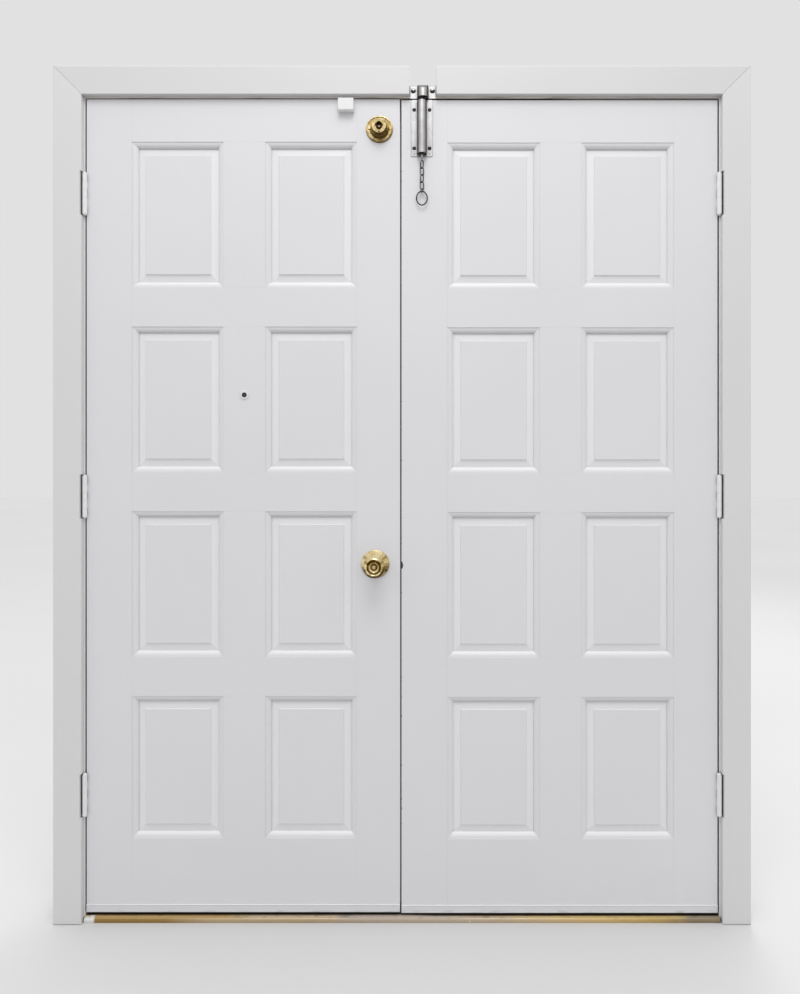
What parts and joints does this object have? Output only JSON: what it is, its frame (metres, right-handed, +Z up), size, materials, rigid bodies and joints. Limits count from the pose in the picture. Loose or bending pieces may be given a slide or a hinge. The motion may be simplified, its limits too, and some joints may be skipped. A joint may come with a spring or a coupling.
{
  "type": "front door",
  "caption": "Pair of panelled entrance leaves in a rabbeted wooden frame with flat casing, metal threshold, knob, deadbolt and pull-chain bolt.",
  "frame": {"origin": "On the floor, midway between the side jambs, in the plane of the closed leaves' room faces", "axes": "+X to the right as seen from the room, +Y from the room to the outside, +Z up"},
  "size_m": [1.7306, 0.1865, 2.1291],
  "materials": {
    "leaf_paint": "white gloss paint over wood, a little worn",
    "panel_paint": "white gloss paint over wood, a little worn",
    "frame_paint": "slightly warmer white paint over wood, mitres open as fine lines",
    "threshold_brass": "worn, tarnished and splashed with white paint",
    "shoe_paint": "painted white, worn along the edge",
    "seal_rubber": "matt black",
    "strip_rubber": "pale grey foam seal",
    "hinge_paint": "painted over in white with the leaves",
    "brass": "polished, with darker hollows",
    "steel": "satin",
    "bolt_metal": "dull light grey, scuffed",
    "chain_metal": "dark, nearly black",
    "screw_dark": "dark, tarnished",
    "viewer_white": "painted over in white",
    "viewer_glass": "dark lens",
    "sensor_plastic": "white"
  },
  "bodies": {
    "frame": {"jamb_left": "frame_paint", "jamb_right": "frame_paint", "jamb_head": "frame_paint", "casing_left": "frame_paint", "casing_right": "frame_paint", "casing_head_left": "frame_paint", "casing_head_right": "frame_paint", "threshold": "threshold_brass", "weatherstrips": "strip_rubber", "bolt_keeper": "bolt_metal", "keeper_screws": "screw_dark", "hinge_frame_plates": "hinge_paint", "hinge_pins": "hinge_paint"},
    "left_leaf": {"left_hinge_stile": "leaf_paint", "left_lock_stile": "leaf_paint", "left_top_rail": "leaf_paint", "left_middle_rails": "leaf_paint", "left_bottom_rail": "leaf_paint", "left_mullions": "leaf_paint", "left_panels": "panel_paint", "left_door_shoe": "shoe_paint", "left_hinge_plates": "hinge_paint", "viewer_eyepiece": "viewer_white", "viewer_barrel": "viewer_white", "viewer_lenses": "viewer_glass", "contact_sensor": "sensor_plastic", "latch_case": "brass", "deadbolt_case": "brass", "knob_roses": "brass", "deadbolt_collars": "brass", "deadbolt_screws": "brass"},
    "knobs": {"inside_knob": "brass", "outside_knob": "brass"},
    "button": {"knob_button": "brass"},
    "latch": {"latch_bolt": "brass"},
    "deadbolt": {"deadbolt_bolt": "steel"},
    "inside_plug": {"inside_key_plug": "brass"},
    "outside_plug": {"outside_key_plug": "brass"},
    "right_leaf": {"right_hinge_stile": "leaf_paint", "right_meeting_stile": "leaf_paint", "right_top_rail": "leaf_paint", "right_middle_rails": "leaf_paint", "right_bottom_rail": "leaf_paint", "right_mullions": "leaf_paint", "right_panels": "panel_paint", "right_door_shoe": "shoe_paint", "meeting_seal": "seal_rubber", "right_hinge_plates": "hinge_paint", "strike_plates": "brass", "chain_bolt_body": "bolt_metal", "chain_bolt_screws": "screw_dark", "chain_bolt_spring": "bolt_metal"},
    "bolt_rod": {"chain_bolt_rod": "bolt_metal"},
    "link_1": {"chain_link_1": "chain_metal"},
    "link_2": {"chain_link_2": "chain_metal"},
    "link_3": {"chain_link_3": "chain_metal"},
    "link_4": {"chain_link_4": "chain_metal"},
    "small_link": {"chain_small_link": "chain_metal"},
    "ring": {"chain_ring": "chain_metal"}
  },
  "joints": [
    {"name": "left_leaf_hinge", "type": "hinge", "parent": "frame", "child": "left_leaf", "pos_m": [-0.7905, -0.0065, 1.061], "axis": [0, 0, -1], "range_deg": [0, 110]},
    {"name": "right_leaf_hinge", "type": "hinge", "parent": "frame", "child": "right_leaf", "pos_m": [0.79025, -0.0065, 1.061], "axis": [0, 0, 1], "range_deg": [0, 110]},
    {"name": "knob_turn", "type": "hinge", "parent": "left_leaf", "child": "knobs", "pos_m": [-0.06725, 0, 0.8915], "axis": [0, 1, 0], "range_deg": [0, 50]},
    {"name": "knob_button_push", "type": "slide", "parent": "knobs", "child": "button", "axis": [0, 1, 0], "range_m": [0, 0.003], "stiffness_N_per_m": 150},
    {"name": "latch_slide", "type": "slide", "parent": "left_leaf", "child": "latch", "axis": [1, 0, 0], "range_m": [0, 0.0127]},
    {"name": "inside_plug_turn", "type": "hinge", "parent": "left_leaf", "child": "inside_plug", "pos_m": [-0.05675, 0, 1.9775], "axis": [0, 1, 0], "range_deg": [0, 90]},
    {"name": "outside_plug_turn", "type": "hinge", "parent": "left_leaf", "child": "outside_plug", "pos_m": [-0.05675, 0, 1.9775], "axis": [0, 1, 0], "range_deg": [0, 90]},
    {"name": "deadbolt_slide", "type": "slide", "parent": "left_leaf", "child": "deadbolt", "axis": [1, 0, 0], "range_m": [0, 0.025]},
    {"name": "chain_bolt_slide", "type": "slide", "parent": "right_leaf", "child": "bolt_rod", "axis": [0, 0, 1], "range_m": [0, 0.014], "deforming": ["chain_bolt_spring"]},
    {"name": "link_1_swing", "type": "hinge", "parent": "bolt_rod", "child": "link_1", "pos_m": [0.04925, -0.0084, 1.89735], "axis": [0.6428, -0.766, 0], "range_deg": [-20, 0]},
    {"name": "link_2_swing", "type": "hinge", "parent": "link_1", "child": "link_2", "pos_m": [0.04925, -0.0084, 1.87975], "axis": [0.766, 0.6428, 0], "range_deg": [-20, 0]},
    {"name": "link_3_swing", "type": "hinge", "parent": "link_2", "child": "link_3", "pos_m": [0.04925, -0.0084, 1.86215], "axis": [0.6428, -0.766, 0], "range_deg": [-20, 0]},
    {"name": "link_4_swing", "type": "hinge", "parent": "link_3", "child": "link_4", "pos_m": [0.04925, -0.0084, 1.84455], "axis": [0.766, 0.6428, 0], "range_deg": [-20, 0]},
    {"name": "small_link_swing", "type": "hinge", "parent": "link_4", "child": "small_link", "pos_m": [0.04925, -0.0084, 1.82675], "axis": [0.6428, -0.766, 0], "range_deg": [-15, 0]},
    {"name": "ring_swing", "type": "hinge", "parent": "small_link", "child": "ring", "pos_m": [0.04925, -0.0084, 1.82055], "axis": [1, 0, 0], "range_deg": [-60, 0]}
  ],
  "couplings": [
    {"joint": "latch_slide", "follows": "knob_turn", "m_per_rad": 0.014553},
    {"joint": "inside_plug_turn", "follows": "deadbolt_slide", "rad_per_m": 62.83}
  ]
}
